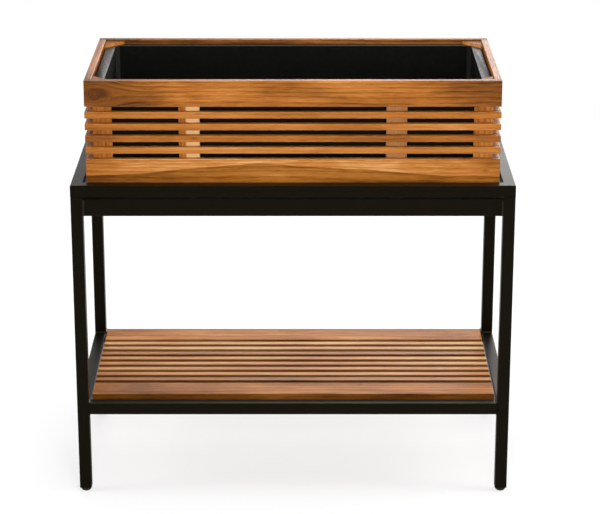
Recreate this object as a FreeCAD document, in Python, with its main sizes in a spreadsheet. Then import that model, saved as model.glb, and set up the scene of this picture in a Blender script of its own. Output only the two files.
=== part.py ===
import FreeCAD, Part
import os

import Sketcher

# A slatted wooden planter box with a black liner, dropped into the top ring of a
# square-tube stand that has a slatted shelf low between its legs. Millimetres,
# +Z up, origin on the floor under the middle of the stand, front towards -Y.

driving_sizes = {
    # Steel stand
    "frame_width": 914,
    "frame_depth": 457,
    "ring_top": 684,
    "shelf_rail_top": 203.5,
    "tube_side": 25,
    "tube_wall": 1.5,
    "tube_round": 2,
    "apron_height": 37,
    "apron_thickness": 20,
    "apron_setback": 5,
    "apron_gap": 5,
    "bar_side": 18,
    "bar_count": 5,
    "tab_width": 30,
    "tab_reach": 22,
    "tab_thickness": 4,
    # Levelling feet
    "foot_radius": 11,
    "foot_height": 9,
    "foot_round": 6,
    "stud_radius": 4,
    "stud_length": 25,
    "stud_clearance": 0.3,
    "plug_height": 18,
    # Wooden box
    "box_gap": 6,
    "box_drop": 7,
    "board_thickness": 15,
    "board_height": 55,
    "slat_height": 14,
    "slat_gap": 10.8,
    "slat_count": 4,
    "wood_round": 1.5,
    "upright_width": 43,
    "upright_thickness": 15,
    "upright_offset": 213,
    "post_leg": 40,
    "post_tip": 4,
    "post_drop": 4,
    # Liner
    "rim_drop": 9.5,
    "rim_gap": 4,
    "rim_width": 17,
    "rim_corner_width": 3,
    "rim_post_clearance": 2.5,
    "liner_wall": 2,
    "liner_corner_least": 6,
    "liner_floor_gap": 1,
    "liner_floor_round": 8,
    "drain_radius": 5,
    "drain_offset": 80,
    # Shelf panel
    "shelf_end_gap": 4,
    "shelf_side_gap": 6,
    "shelf_rise": 10,
    "shelf_thickness": 16,
    "shelf_board_width": 66,
    "shelf_slat_width": 19,
    "shelf_slat_count": 8,
    "batten_width": 43,
    "batten_thickness": 13,
    "batten_setback": 3.5,
    "batten_inset": 60,
    # Wood screws
    "screw_radius": 2,
    "screw_head_radius": 4,
    "screw_head_height": 2.5,
    "screw_bite": 9,
    "screw_tip": 4,
    "screw_clearance": 0.1,
}

doc = FreeCAD.newDocument("raised_garden_bed")
sheet = doc.addObject("Spreadsheet::Sheet", "sizes")
for row, (alias, value) in enumerate(driving_sizes.items(), start=1):
    sheet.set(f"A{row}", alias)
    sheet.set(f"B{row}", str(value))
    sheet.setAlias(f"B{row}", alias)
doc.recompute()

nodes = []
tolerance = 1e-4
turn_axis = FreeCAD.Vector(0, 0, 1)
full_turn = 360
quarter_turn = full_turn / 4

# Sizes that follow from the driving ones, as expressions on the sheet
half_width = "(sizes.frame_width / 2)"
half_depth = "(sizes.frame_depth / 2)"
inner_half_width = f"({half_width} - sizes.tube_side)"
inner_half_depth = f"({half_depth} - sizes.tube_side)"
leg_top = "(sizes.ring_top - sizes.tube_side)"
apron_bottom = f"({leg_top} - sizes.apron_gap - sizes.apron_height)"
shelf_rail_bottom = "(sizes.shelf_rail_top - sizes.tube_side)"
tube_bore = "(sizes.tube_side - 2 * sizes.tube_wall)"

box_half_width = f"({inner_half_width} - sizes.box_gap)"
box_half_depth = f"({inner_half_depth} - sizes.box_gap)"
inside_half_width = f"({box_half_width} - sizes.board_thickness)"
inside_half_depth = f"({box_half_depth} - sizes.board_thickness)"
box_bottom = "(sizes.ring_top - sizes.box_drop)"
slat_pitch = "(sizes.slat_height + sizes.slat_gap)"
first_slat_bottom = f"({box_bottom} + sizes.board_height + sizes.slat_gap)"
top_board_bottom = f"({first_slat_bottom} + sizes.slat_count * {slat_pitch})"
box_top = f"({top_board_bottom} + sizes.board_height)"
bar_pitch = f"((2 * {box_half_width} - sizes.board_thickness) / (sizes.bar_count - 1))"
first_bar = f"(sizes.board_thickness / 2 - {box_half_width})"

rim_top = f"({box_top} - sizes.rim_drop)"
rim_bottom = f"({rim_top} - sizes.liner_wall)"
rim_half_width = f"({inside_half_width} - sizes.rim_gap)"
rim_half_depth = f"({inside_half_depth} - sizes.rim_gap)"
post_face = "(sizes.post_leg + sizes.post_tip + sqrt(2) * sizes.rim_post_clearance)"
rim_corner = f"({post_face} - 2 * sizes.rim_gap)"
tub_half_width = f"({rim_half_width} - sizes.rim_width)"
tub_half_depth = f"({rim_half_depth} - sizes.rim_width)"
tub_corner_free = f"{rim_corner} + sqrt(2) * sizes.rim_corner_width - 2 * sizes.rim_width"
tub_corner = f"max(sizes.liner_corner_least; {tub_corner_free})"
hollow_half_width = f"({tub_half_width} - sizes.liner_wall)"
hollow_half_depth = f"({tub_half_depth} - sizes.liner_wall)"
hollow_corner = f"({tub_corner} - (2 - sqrt(2)) * sizes.liner_wall)"
liner_bottom = f"({box_bottom} + sizes.liner_floor_gap)"
liner_height = f"({rim_top} - {liner_bottom})"

shelf_half_width = f"({inner_half_width} - sizes.shelf_end_gap)"
shelf_half_depth = f"({inner_half_depth} - sizes.shelf_side_gap)"
shelf_bottom = "(sizes.shelf_rail_top + sizes.shelf_rise - sizes.shelf_thickness)"
shelf_slats_run = f"(2 * {shelf_half_depth} - 2 * sizes.shelf_board_width)"
shelf_slats_wood = "(sizes.shelf_slat_count * sizes.shelf_slat_width)"
shelf_slat_gap = f"(({shelf_slats_run} - {shelf_slats_wood}) / (sizes.shelf_slat_count + 1))"
shelf_slat_pitch = f"(sizes.shelf_slat_width + {shelf_slat_gap})"
first_shelf_slat = f"(sizes.shelf_board_width - {shelf_half_depth} + {shelf_slat_gap})"
batten_bottom = f"({shelf_bottom} - sizes.batten_thickness)"
batten_half_length = f"({shelf_half_depth} - sizes.batten_setback)"
batten_offset = f"({shelf_half_width} - sizes.batten_inset)"


def number(expression):
    return float(sheet.evalExpression(expression))


def count(expression):
    return round(number(expression))


def node(item, label):
    item.Label = label
    nodes.append(item)
    return item


def place(item, x, y, z):
    for axis, expression in zip("xyz", (x, y, z)):
        item.setExpression(f"Placement.Base.{axis}", expression)
    return item


def size(item, **bindings):
    for name, expression in bindings.items():
        item.setExpression(name, expression)
    return item


def sketch_on(body, role, name, height=None):
    sketch = body.newObject("Sketcher::SketchObject", name)
    plane = next(item for item in body.Origin.OriginFeatures if item.Role == role)
    sketch.AttachmentSupport = [(plane, "")]
    sketch.MapMode = "FlatFace"
    if height:
        sketch.setExpression("AttachmentOffset.Base.z", height)
    return sketch


def bind(sketch, kind, *target, value):
    index = sketch.addConstraint(Sketcher.Constraint(kind, *target, number(value)))
    sketch.setExpression(f"Constraints[{index}]", value)


def draw_outline(sketch, points):
    first = sketch.GeometryCount
    corners = [FreeCAD.Vector(number(x), number(y), 0) for x, y in points]
    for start, end in zip(corners, corners[1:] + corners[:1]):
        sketch.addGeometry(Part.LineSegment(start, end), False)
    for index, (x, y) in enumerate(points):
        line = first + index
        before = first + (index - 1) % len(points)
        sketch.addConstraint(Sketcher.Constraint("Coincident", before, 2, line, 1))
        bind(sketch, "DistanceX", -1, 1, line, 1, value=x)
        bind(sketch, "DistanceY", -1, 1, line, 1, value=y)


def draw_rectangle(sketch, left, bottom, right, top):
    draw_outline(sketch, [(left, bottom), (right, bottom), (right, top), (left, top)])


def draw_circle(sketch, x, y, radius):
    middle = FreeCAD.Vector(number(x), number(y), 0)
    circle = Part.Circle(middle, turn_axis, number(radius))
    index = sketch.addGeometry(circle, False)
    bind(sketch, "DistanceX", -1, 1, index, 3, value=x)
    bind(sketch, "DistanceY", -1, 1, index, 3, value=y)
    bind(sketch, "Radius", index, value=radius)


def pad(body, sketch, length):
    feature = body.newObject("PartDesign::Pad", sketch.Name + "_pad")
    feature.Profile = sketch
    return size(feature, Length=length)


def pocket_through(body, sketch):
    feature = body.newObject("PartDesign::Pocket", sketch.Name + "_pocket")
    feature.Profile = sketch
    feature.Type = "ThroughAll"
    feature.Midplane = True
    return feature


def fillet_edges(body, base, edges, radius):
    feature = body.newObject("PartDesign::Fillet", base.Name + "_round")
    feature.Base = (base, edges)
    return size(feature, Radius=radius)


def long_outer_edges(shape, along):
    whole = shape.BoundBox
    across = [axis for axis in "XYZ" if axis != along]
    names = []
    for index, edge in enumerate(shape.Edges, start=1):
        reach = edge.BoundBox
        thin = all(getattr(reach, axis + "Length") < tolerance for axis in across)
        outer = all(
            getattr(reach, axis + "Min") - getattr(whole, axis + "Min") < tolerance
            or getattr(whole, axis + "Max") - getattr(reach, axis + "Max") < tolerance
            for axis in across
        )
        if thin and outer:
            names.append(f"Edge{index}")
    return names


def edges_at_height(shape, height):
    names = []
    for index, edge in enumerate(shape.Edges, start=1):
        reach = edge.BoundBox
        if abs(reach.ZMin - height) < tolerance and abs(reach.ZMax - height) < tolerance:
            names.append(f"Edge{index}")
    return names


# The plane that a tube's section is drawn on, and which way its length then runs
section_planes = {"X": ("YZ_Plane", False), "Y": ("XZ_Plane", True), "Z": ("XY_Plane", False)}


def tube(label, along, width, height, length):
    body = doc.addObject("PartDesign::Body", label)
    role, reversed_way = section_planes[along]
    section = sketch_on(body, role, label + "_section")
    draw_rectangle(section, "0", "0", width, height)
    wall = "sizes.tube_wall"
    draw_rectangle(section, wall, wall, f"{width} - {wall}", f"{height} - {wall}")
    blank = pad(body, section, length)
    blank.Reversed = reversed_way
    doc.recompute()
    fillet_edges(body, blank, long_outer_edges(blank.Shape, along), "sizes.tube_round")
    return body


def square_tube(label, along, length, side="sizes.tube_side"):
    return tube(label, along, side, side, length)


def board(label, corner, extent):
    body = doc.addObject("PartDesign::Body", label)
    block = body.newObject("PartDesign::AdditiveBox", label + "_block")
    length, width, height = extent
    size(block, Length=length, Width=width, Height=height)
    doc.recompute()
    fillet_edges(body, block, ["Edge1"], "sizes.wood_round").UseAllEdges = True
    return place(body, *corner)


def group(label, members):
    whole = doc.addObject("Part::Compound", label)
    whole.Links = members
    return whole


def drilled(label, blank, holes):
    piece = doc.addObject("Part::Cut", label + "_drilled")
    piece.Base = blank
    piece.Tool = holes
    return node(piece, label)


def mitred_rail(label, length, corner, turns):
    body = square_tube(label, "X", length)
    mitres = sketch_on(body, "XY_Plane", label + "_mitres")
    side = "sizes.tube_side"
    draw_outline(mitres, [("0", "0"), (side, side), ("0", side)])
    draw_outline(mitres, [(length, "0"), (length, side), (f"{length} - {side}", side)])
    pocket_through(body, mitres)
    rotation = FreeCAD.Rotation(turn_axis, quarter_turn * turns)
    body.Placement = FreeCAD.Placement(FreeCAD.Vector(), rotation)
    return place(body, *corner)


# A wood screw with a countersunk head, plain shank and pointed tip. Its head lies on
# the origin and its tip points up.
def screw_shape(grip, spare):
    slack = number(spare)
    shank = number("sizes.screw_radius") + slack
    head = number("sizes.screw_head_radius") + slack
    sink = number("sizes.screw_head_height")
    end = number(f"{grip} + sizes.screw_bite") + slack
    shoulder = end - number("sizes.screw_tip")
    profile = [(0, -slack), (head, -slack), (shank, sink), (shank, shoulder), (0, end)]
    points = [FreeCAD.Vector(radius, 0, height) for radius, height in profile]
    face = Part.Face(Part.makePolygon(points + points[:1]))
    return face.revolve(FreeCAD.Vector(), turn_axis, full_turn)


def screw_set(label, grip, heads, spare="0"):
    screw = screw_shape(grip, spare)
    copies = []
    for head, way in heads:
        copy = screw.copy()
        copy.Placement = FreeCAD.Placement(head, FreeCAD.Rotation(turn_axis, way))
        copies.append(copy)
    feature = doc.addObject("Part::Feature", label + "_set")
    feature.Shape = Part.makeCompound(copies)
    return feature


# Steel stand
corners = {
    "front_left": (-1, -1),
    "front_right": (1, -1),
    "rear_right": (1, 1),
    "rear_left": (-1, 1),
}


def from_edge(sign, half, depth):
    return f"-{half}" if sign < 0 else f"{half} - {depth}"


for name, (x_sign, y_sign) in corners.items():
    leg = node(square_tube(f"leg_{name}", "Z", f"{leg_top} - sizes.foot_height"), f"leg_{name}")
    leg_x = from_edge(x_sign, half_width, "sizes.tube_side")
    leg_y = from_edge(y_sign, half_depth, "sizes.tube_side")
    place(leg, leg_x, leg_y, "sizes.foot_height")

ring_rails = {
    "front": ("sizes.frame_width", (f"-{half_width}", f"-{half_depth}", leg_top)),
    "right": ("sizes.frame_depth", (half_width, f"-{half_depth}", leg_top)),
    "rear": ("sizes.frame_width", (half_width, half_depth, leg_top)),
    "left": ("sizes.frame_depth", (f"-{half_width}", half_depth, leg_top)),
}
for turns, (side, (length, corner)) in enumerate(ring_rails.items()):
    node(mitred_rail(f"ring_rail_{side}", length, corner, turns), f"ring_rail_{side}")

for side, sign in (("front", -1), ("rear", 1)):
    span = f"2 * {inner_half_width}"
    rail = node(square_tube(f"shelf_rail_{side}", "X", span), f"shelf_rail_{side}")
    rail_y = from_edge(sign, half_depth, "sizes.tube_side")
    place(rail, f"-{inner_half_width}", rail_y, shelf_rail_bottom)
    apron = tube(f"apron_{side}", "X", "sizes.apron_thickness", "sizes.apron_height", span)
    set_back = f"({half_depth} - sizes.apron_setback)"
    apron_y = from_edge(sign, set_back, "sizes.apron_thickness")
    place(node(apron, f"apron_{side}"), f"-{inner_half_width}", apron_y, apron_bottom)

for side, sign in (("left", -1), ("right", 1)):
    span = f"2 * {inner_half_depth}"
    rail = node(square_tube(f"shelf_rail_{side}", "Y", span), f"shelf_rail_{side}")
    rail_x = from_edge(sign, half_width, "sizes.tube_side")
    place(rail, rail_x, f"-{inner_half_depth}", shelf_rail_bottom)
    apron = tube(f"apron_{side}", "Y", "sizes.apron_thickness", "sizes.apron_height", span)
    set_back = f"({half_width} - sizes.apron_setback)"
    apron_x = from_edge(sign, set_back, "sizes.apron_thickness")
    place(node(apron, f"apron_{side}"), apron_x, f"-{inner_half_depth}", apron_bottom)

bars = []
for index in range(count("sizes.bar_count")):
    bar = square_tube(f"bed_bar_{index + 1}", "Y", f"2 * {inner_half_depth}", "sizes.bar_side")
    bar_x = f"{first_bar} + {index} * {bar_pitch} - sizes.bar_side / 2"
    bars.append(place(bar, bar_x, f"-{inner_half_depth}", f"{box_bottom} - sizes.bar_side"))
node(group("bed_bars_group", bars), "bed_bars")

tabs = []
batten_middles = [f"-{batten_offset}", "0", batten_offset]
for index, middle in enumerate(batten_middles, start=1):
    for side, sign in (("front", -1), ("rear", 1)):
        tab = doc.addObject("Part::Box", f"shelf_tab_{side}_{index}")
        size(tab, Length="sizes.tab_width", Width="sizes.tab_reach", Height="sizes.tab_thickness")
        tab_y = from_edge(sign, inner_half_depth, "sizes.tab_reach")
        tab_z = f"{batten_bottom} - sizes.tab_thickness"
        tabs.append(place(tab, f"{middle} - sizes.tab_width / 2", tab_y, tab_z))
node(group("shelf_tabs_group", tabs), "shelf_tabs")


# Levelling feet and the threaded plugs in the leg ends
def leg_middle(sign, half):
    return f"{sign} * ({half} - sizes.tube_side / 2)"


plugs = []
for name, (x_sign, y_sign) in corners.items():
    leg_x = leg_middle(x_sign, half_width)
    leg_y = leg_middle(y_sign, half_depth)

    block = doc.addObject("Part::Box", f"plug_block_{name}")
    size(block, Length=tube_bore, Width=tube_bore, Height="sizes.plug_height")
    place(block, f"{leg_x} - {tube_bore} / 2", f"{leg_y} - {tube_bore} / 2", "sizes.foot_height")
    bore = doc.addObject("Part::Cylinder", f"plug_bore_{name}")
    size(bore, Radius="sizes.stud_radius + sizes.stud_clearance", Height="sizes.plug_height")
    place(bore, leg_x, leg_y, "sizes.foot_height")
    plug = doc.addObject("Part::Cut", f"plug_{name}")
    plug.Base = block
    plug.Tool = bore
    plugs.append(plug)

    foot = doc.addObject("PartDesign::Body", f"foot_{name}")
    disc = foot.newObject("PartDesign::AdditiveCylinder", f"foot_disc_{name}")
    size(disc, Radius="sizes.foot_radius", Height="sizes.foot_height")
    doc.recompute()
    fillet_edges(foot, disc, edges_at_height(disc.Shape, 0), "sizes.foot_round")
    doc.recompute()
    stud = foot.newObject("PartDesign::AdditiveCylinder", f"foot_stud_{name}")
    size(stud, Radius="sizes.stud_radius", Height="sizes.foot_height + sizes.stud_length")
    place(node(foot, f"foot_{name}"), leg_x, leg_y, "0")
node(group("leg_plugs_group", plugs), "leg_plugs")


# Places of the screws that hold the boards to the uprights and the shelf to its battens
board_middles = [f"{box_bottom} + sizes.board_height / 2"]
for index in range(count("sizes.slat_count")):
    board_middles.append(f"{first_slat_bottom} + {index} * {slat_pitch} + sizes.slat_height / 2")
board_middles.append(f"{top_board_bottom} + sizes.board_height / 2")

shelf_middles = [f"sizes.shelf_board_width / 2 - {shelf_half_depth}"]
for index in range(count("sizes.shelf_slat_count")):
    slat_front = f"{first_shelf_slat} + {index} * {shelf_slat_pitch}"
    shelf_middles.append(f"{slat_front} + sizes.shelf_slat_width / 2")
shelf_middles.append(f"{shelf_half_depth} - sizes.shelf_board_width / 2")

upright_heads = []
for y_sign in (-1, 1):
    head_y = y_sign * number(f"{inside_half_depth} - sizes.upright_thickness")
    for x_sign in (-1, 1):
        head_x = x_sign * number("sizes.upright_offset")
        for middle in board_middles:
            head = FreeCAD.Vector(head_x, head_y, number(middle))
            upright_heads.append((head, FreeCAD.Vector(0, y_sign, 0)))

batten_heads = []
for x_middle in batten_middles:
    for y_middle in shelf_middles:
        head = FreeCAD.Vector(number(x_middle), number(y_middle), number(batten_bottom))
        batten_heads.append((head, turn_axis))

slack = "sizes.screw_clearance"
upright_grip = "sizes.upright_thickness"
batten_grip = "sizes.batten_thickness"
node(screw_set("box_screws", upright_grip, upright_heads), "box_screws")
node(screw_set("shelf_screws", batten_grip, batten_heads), "shelf_screws")
upright_holes = screw_set("upright_holes", upright_grip, upright_heads, slack)
batten_holes = screw_set("batten_holes", batten_grip, batten_heads, slack)


# Wooden box: the long panels run to the corners and the end panels stand between them
def panel_boards(side, corner_x, corner_y, length, width, holes=None):
    tall = (length, width, "sizes.board_height")
    thin = (length, width, "sizes.slat_height")
    bottom = board(f"{side}_bottom_blank", (corner_x, corner_y, box_bottom), tall)
    top = board(f"{side}_top_blank", (corner_x, corner_y, top_board_bottom), tall)
    slats = []
    for index in range(count("sizes.slat_count")):
        slat_z = f"{first_slat_bottom} + {index} * {slat_pitch}"
        slats.append(board(f"{side}_slat_{index + 1}", (corner_x, corner_y, slat_z), thin))
    pieces = {"bottom_board": bottom, "slats": group(f"{side}_slat_row", slats), "top_board": top}
    for name, piece in pieces.items():
        if holes:
            drilled(f"{side}_{name}", piece, holes)
        else:
            node(piece, f"{side}_{name}")


thickness = "sizes.board_thickness"
for side, sign in (("front", -1), ("rear", 1)):
    panel_y = from_edge(sign, box_half_depth, thickness)
    long_side = f"2 * {box_half_width}"
    panel_boards(side, f"-{box_half_width}", panel_y, long_side, thickness, upright_holes)
for side, sign in (("left", -1), ("right", 1)):
    panel_x = from_edge(sign, box_half_width, thickness)
    short_side = f"2 * {inside_half_depth}"
    panel_boards(side, panel_x, f"-{inside_half_depth}", thickness, short_side)

for name, (x_sign, y_sign) in corners.items():
    upright_x = f"{x_sign} * sizes.upright_offset - sizes.upright_width / 2"
    upright_y = from_edge(y_sign, inside_half_depth, "sizes.upright_thickness")
    upright_size = ("sizes.upright_width", "sizes.upright_thickness", f"{rim_bottom} - {box_bottom}")
    blank = board(f"upright_{name}_blank", (upright_x, upright_y, box_bottom), upright_size)
    drilled(f"upright_{name}", blank, upright_holes)

for turns, (name, (x_sign, y_sign)) in enumerate(corners.items()):
    post = doc.addObject("PartDesign::Body", f"corner_post_{name}")
    section = sketch_on(post, "XY_Plane", f"post_section_{name}")
    leg = "sizes.post_leg"
    tip = "sizes.post_tip"
    draw_outline(section, [("0", "0"), (leg, "0"), (leg, tip), (tip, leg), ("0", leg)])
    blank = pad(post, section, f"{box_top} - sizes.post_drop - {box_bottom}")
    doc.recompute()
    fillet_edges(post, blank, ["Edge1"], "sizes.wood_round").UseAllEdges = True
    rotation = FreeCAD.Rotation(turn_axis, quarter_turn * turns)
    post.Placement = FreeCAD.Placement(FreeCAD.Vector(), rotation)
    post_x = f"{x_sign} * {inside_half_width}"
    post_y = f"{y_sign} * {inside_half_depth}"
    place(node(post, f"corner_post_{name}"), post_x, post_y, box_bottom)


# Liner: a tub with clipped corners, a flat rim clipped round the corner posts and drains
def clipped_rectangle(half_x, half_y, clip):
    short_x = f"({half_x} - {clip})"
    short_y = f"({half_y} - {clip})"
    return [
        (f"-{short_x}", f"-{half_y}"),
        (short_x, f"-{half_y}"),
        (half_x, f"-{short_y}"),
        (half_x, short_y),
        (short_x, half_y),
        (f"-{short_x}", half_y),
        (f"-{half_x}", short_y),
        (f"-{half_x}", f"-{short_y}"),
    ]


liner = doc.addObject("PartDesign::Body", "liner")
tub_plan = sketch_on(liner, "XY_Plane", "tub_plan")
draw_outline(tub_plan, clipped_rectangle(tub_half_width, tub_half_depth, tub_corner))
pad(liner, tub_plan, liner_height)
rim_plan = sketch_on(liner, "XY_Plane", "rim_plan", f"{liner_height} - sizes.liner_wall")
draw_outline(rim_plan, clipped_rectangle(rim_half_width, rim_half_depth, rim_corner))
pad(liner, rim_plan, "sizes.liner_wall")
hollow_plan = sketch_on(liner, "XY_Plane", "hollow_plan", liner_height)
draw_outline(hollow_plan, clipped_rectangle(hollow_half_width, hollow_half_depth, hollow_corner))
hollow = liner.newObject("PartDesign::Pocket", "hollow")
hollow.Profile = hollow_plan
size(hollow, Length=f"{liner_height} - sizes.liner_wall")
doc.recompute()
floor_edges = edges_at_height(hollow.Shape, number("sizes.liner_wall"))
inner_round = fillet_edges(liner, hollow, floor_edges, "sizes.liner_floor_round")
doc.recompute()
outer_edges = edges_at_height(inner_round.Shape, 0)
outer_radius = "sizes.liner_floor_round + sizes.liner_wall"
fillet_edges(liner, inner_round, outer_edges, outer_radius)
doc.recompute()
drain_plan = sketch_on(liner, "XY_Plane", "drain_plan")
first_drain = f"({first_bar} + {bar_pitch} / 2)"
for index in range(count("sizes.bar_count") - 1):
    drain_x = f"{first_drain} + {index} * {bar_pitch}"
    draw_circle(drain_plan, drain_x, "-sizes.drain_offset", "sizes.drain_radius")
    draw_circle(drain_plan, drain_x, "sizes.drain_offset", "sizes.drain_radius")
pocket_through(liner, drain_plan)
place(node(liner, "liner"), "0", "0", liner_bottom)

# Shelf panel
shelf_length = f"2 * {shelf_half_width}"
shelf_x = f"-{shelf_half_width}"
for side, sign in (("front", -1), ("rear", 1)):
    board_y = from_edge(sign, shelf_half_depth, "sizes.shelf_board_width")
    wide = (shelf_length, "sizes.shelf_board_width", "sizes.shelf_thickness")
    blank = board(f"shelf_{side}_blank", (shelf_x, board_y, shelf_bottom), wide)
    drilled(f"shelf_{side}_board", blank, batten_holes)
for index in range(count("sizes.shelf_slat_count")):
    slat_y = f"{first_shelf_slat} + {index} * {shelf_slat_pitch}"
    narrow = (shelf_length, "sizes.shelf_slat_width", "sizes.shelf_thickness")
    blank = board(f"shelf_slat_{index + 1}_blank", (shelf_x, slat_y, shelf_bottom), narrow)
    drilled(f"shelf_slat_{index + 1}", blank, batten_holes)

battens = []
for index, middle in enumerate(batten_middles, start=1):
    batten_x = f"{middle} - sizes.batten_width / 2"
    batten_size = ("sizes.batten_width", f"2 * {batten_half_length}", "sizes.batten_thickness")
    batten_corner = (batten_x, f"-{batten_half_length}", batten_bottom)
    battens.append(board(f"shelf_batten_{index}", batten_corner, batten_size))
drilled("shelf_battens", group("shelf_batten_row", battens), batten_holes)

doc.recompute()
failed = [item.Name for item in doc.Objects if {"Invalid", "Error"} & set(item.State)]
if failed:
    raise RuntimeError(f"objects that did not recompute: {failed}")
for item in nodes:
    if item.Shape.isNull() or not item.Shape.isValid():
        raise RuntimeError(f"no valid shape: {item.Label}")

os.makedirs("parts", exist_ok=True)
for item in nodes:
    item.Shape.exportStep(f"parts/{item.Label}.step")
print(f"{len(nodes)} nodes written, box top at {number(box_top):.1f} mm")
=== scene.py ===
import bmesh
import bpy
import math
import random
from mathutils import Matrix, Vector


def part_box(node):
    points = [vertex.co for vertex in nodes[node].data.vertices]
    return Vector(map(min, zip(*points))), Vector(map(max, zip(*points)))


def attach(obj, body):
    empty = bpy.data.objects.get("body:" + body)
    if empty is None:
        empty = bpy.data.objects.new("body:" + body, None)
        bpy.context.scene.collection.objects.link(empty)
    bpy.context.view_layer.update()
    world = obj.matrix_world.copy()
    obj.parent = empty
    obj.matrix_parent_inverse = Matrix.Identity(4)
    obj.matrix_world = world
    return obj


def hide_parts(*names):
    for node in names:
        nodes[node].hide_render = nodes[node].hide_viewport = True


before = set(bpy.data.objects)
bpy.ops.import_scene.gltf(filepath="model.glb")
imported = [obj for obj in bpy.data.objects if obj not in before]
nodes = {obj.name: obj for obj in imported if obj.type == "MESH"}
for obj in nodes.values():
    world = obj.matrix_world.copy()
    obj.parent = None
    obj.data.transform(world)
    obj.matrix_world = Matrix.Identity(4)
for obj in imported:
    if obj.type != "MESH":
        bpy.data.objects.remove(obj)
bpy.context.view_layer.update()        # stand, planter box, liner, shelf and four feet, in metres
sides = ("front", "right", "rear", "left")
corners = ("front_left", "front_right", "rear_right", "rear_left")


# small helpers for wiring shader nodes
def plug(tree, value, socket):
    if isinstance(value, bpy.types.NodeSocket):
        tree.links.new(value, socket)
    else:
        socket.default_value = value


def mathNode(tree, operation, *values):
    node = tree.nodes.new("ShaderNodeMath")
    node.operation = operation
    for value, socket in zip(values, node.inputs):
        plug(tree, value, socket)
    return node.outputs[0]


def addShare(tree, base, value, weight):         # base plus a weighted value
    return mathNode(tree, "ADD", base, mathNode(tree, "MULTIPLY", value, weight))


def addLean(tree, base, value, weight):          # the same for a pattern that swings about its middle
    return addShare(tree, base, mathNode(tree, "SUBTRACT", value, 0.5), weight)


def vectorNode(tree, operation, *values):
    node = tree.nodes.new("ShaderNodeVectorMath")
    node.operation = operation
    for value, socket in zip(values, node.inputs):
        plug(tree, value, socket)
    return node.outputs["Value"] if operation == "LENGTH" else node.outputs["Vector"]


def splitNode(tree, vector):
    node = tree.nodes.new("ShaderNodeSeparateXYZ")
    plug(tree, vector, node.inputs[0])
    return node.outputs


def joinNode(tree, *parts):
    node = tree.nodes.new("ShaderNodeCombineXYZ")
    for part, socket in zip(parts, node.inputs):
        plug(tree, part, socket)
    return node.outputs[0]


def noiseNode(tree, place, stretch, detail=2.0, rough=0.5, output="Fac"):
    node = tree.nodes.new("ShaderNodeTexNoise")
    plug(tree, vectorNode(tree, "MULTIPLY", place, stretch), node.inputs["Vector"])
    node.inputs["Scale"].default_value = 1.0
    node.inputs["Detail"].default_value = detail
    node.inputs["Roughness"].default_value = rough
    return node.outputs[output]


def rampNode(tree, value, start, end, low=0.0, high=1.0):        # a soft step from start to end
    node = tree.nodes.new("ShaderNodeMapRange")
    node.interpolation_type = "SMOOTHSTEP"
    names = ("Value", "From Min", "From Max", "To Min", "To Max")
    for name, amount in zip(names, (value, start, end, low, high)):
        plug(tree, amount, node.inputs[name])
    return node.outputs["Result"]


def mixNode(tree, share, first, second, blend="MIX"):
    node = tree.nodes.new("ShaderNodeMix")
    node.data_type = "RGBA"
    node.blend_type = blend
    plug(tree, share, node.inputs[0])
    plug(tree, first, node.inputs[6])            # the colour sockets of a mix node
    plug(tree, second, node.inputs[7])
    return node.outputs[2]


def colourBand(tree, value, stops):
    node = tree.nodes.new("ShaderNodeValToRGB")
    plug(tree, value, node.inputs[0])
    elements = node.color_ramp.elements
    while len(elements) < len(stops):
        elements.new(0.5)
    for element, (spot, colour) in zip(elements, stops):
        element.position = spot
        element.color = (*colour, 1.0)
    return node.outputs[0]


def newGroup(name, takes, gives):
    group = bpy.data.node_groups.new(name, "ShaderNodeTree")
    for label, kind in takes.items():
        group.interface.new_socket(name=label, in_out="INPUT", socket_type="NodeSocket" + kind)
    for label, kind in gives.items():
        group.interface.new_socket(name=label, in_out="OUTPUT", socket_type="NodeSocket" + kind)
    return group, group.nodes.new("NodeGroupInput").outputs, group.nodes.new("NodeGroupOutput").inputs


def useGroup(tree, group, **values):
    node = tree.nodes.new("ShaderNodeGroup")
    node.node_tree = group
    for name, value in values.items():
        plug(tree, value, node.inputs[name])
    return node.outputs


# worn arrises and painted edge highlights: every piece is square to the axes, so a normal between two axes
# is an edge
edgeSet = {
    "edgeBand": (0.99, 0.86),            # longest part of the normal, from a flat face to an arris
    "levelBand": (0.05, 0.25),           # upward part of the normal, from an upright face to a tilted one
    "patches": {"detail": 4.0, "rough": 0.6},
    "patchBand": (0.42, 0.62),
}


def makeEdgeWearAndHighlight():
    use = edgeSet
    takes = {"Place": "Vector", "Normal": "Vector", "Scale": "Float", "Upright": "Float"}
    tree, take, give = newGroup("edgeWearAndHighlight", takes, {"Edge": "Float", "Worn": "Float"})
    parts = splitNode(tree, vectorNode(tree, "ABSOLUTE", take["Normal"]))
    longest = mathNode(tree, "MAXIMUM", parts[0], parts[1])
    longest = mathNode(tree, "MAXIMUM", longest, parts[2])
    edge = rampNode(tree, longest, *use["edgeBand"])
    level = rampNode(tree, parts[2], *use["levelBand"])
    kept = mathNode(tree, "MAXIMUM", level, take["Upright"])     # 0 leaves out slanted upright faces
    edge = mathNode(tree, "MULTIPLY", edge, kept)
    patches = noiseNode(tree, take["Place"], take["Scale"], **use["patches"])
    wearAndHighlight = mathNode(tree, "MULTIPLY", edge, rampNode(tree, patches, *use["patchBand"]))
    plug(tree, edge, give["Edge"])
    plug(tree, wearAndHighlight, give["Worn"])
    return tree


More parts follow.
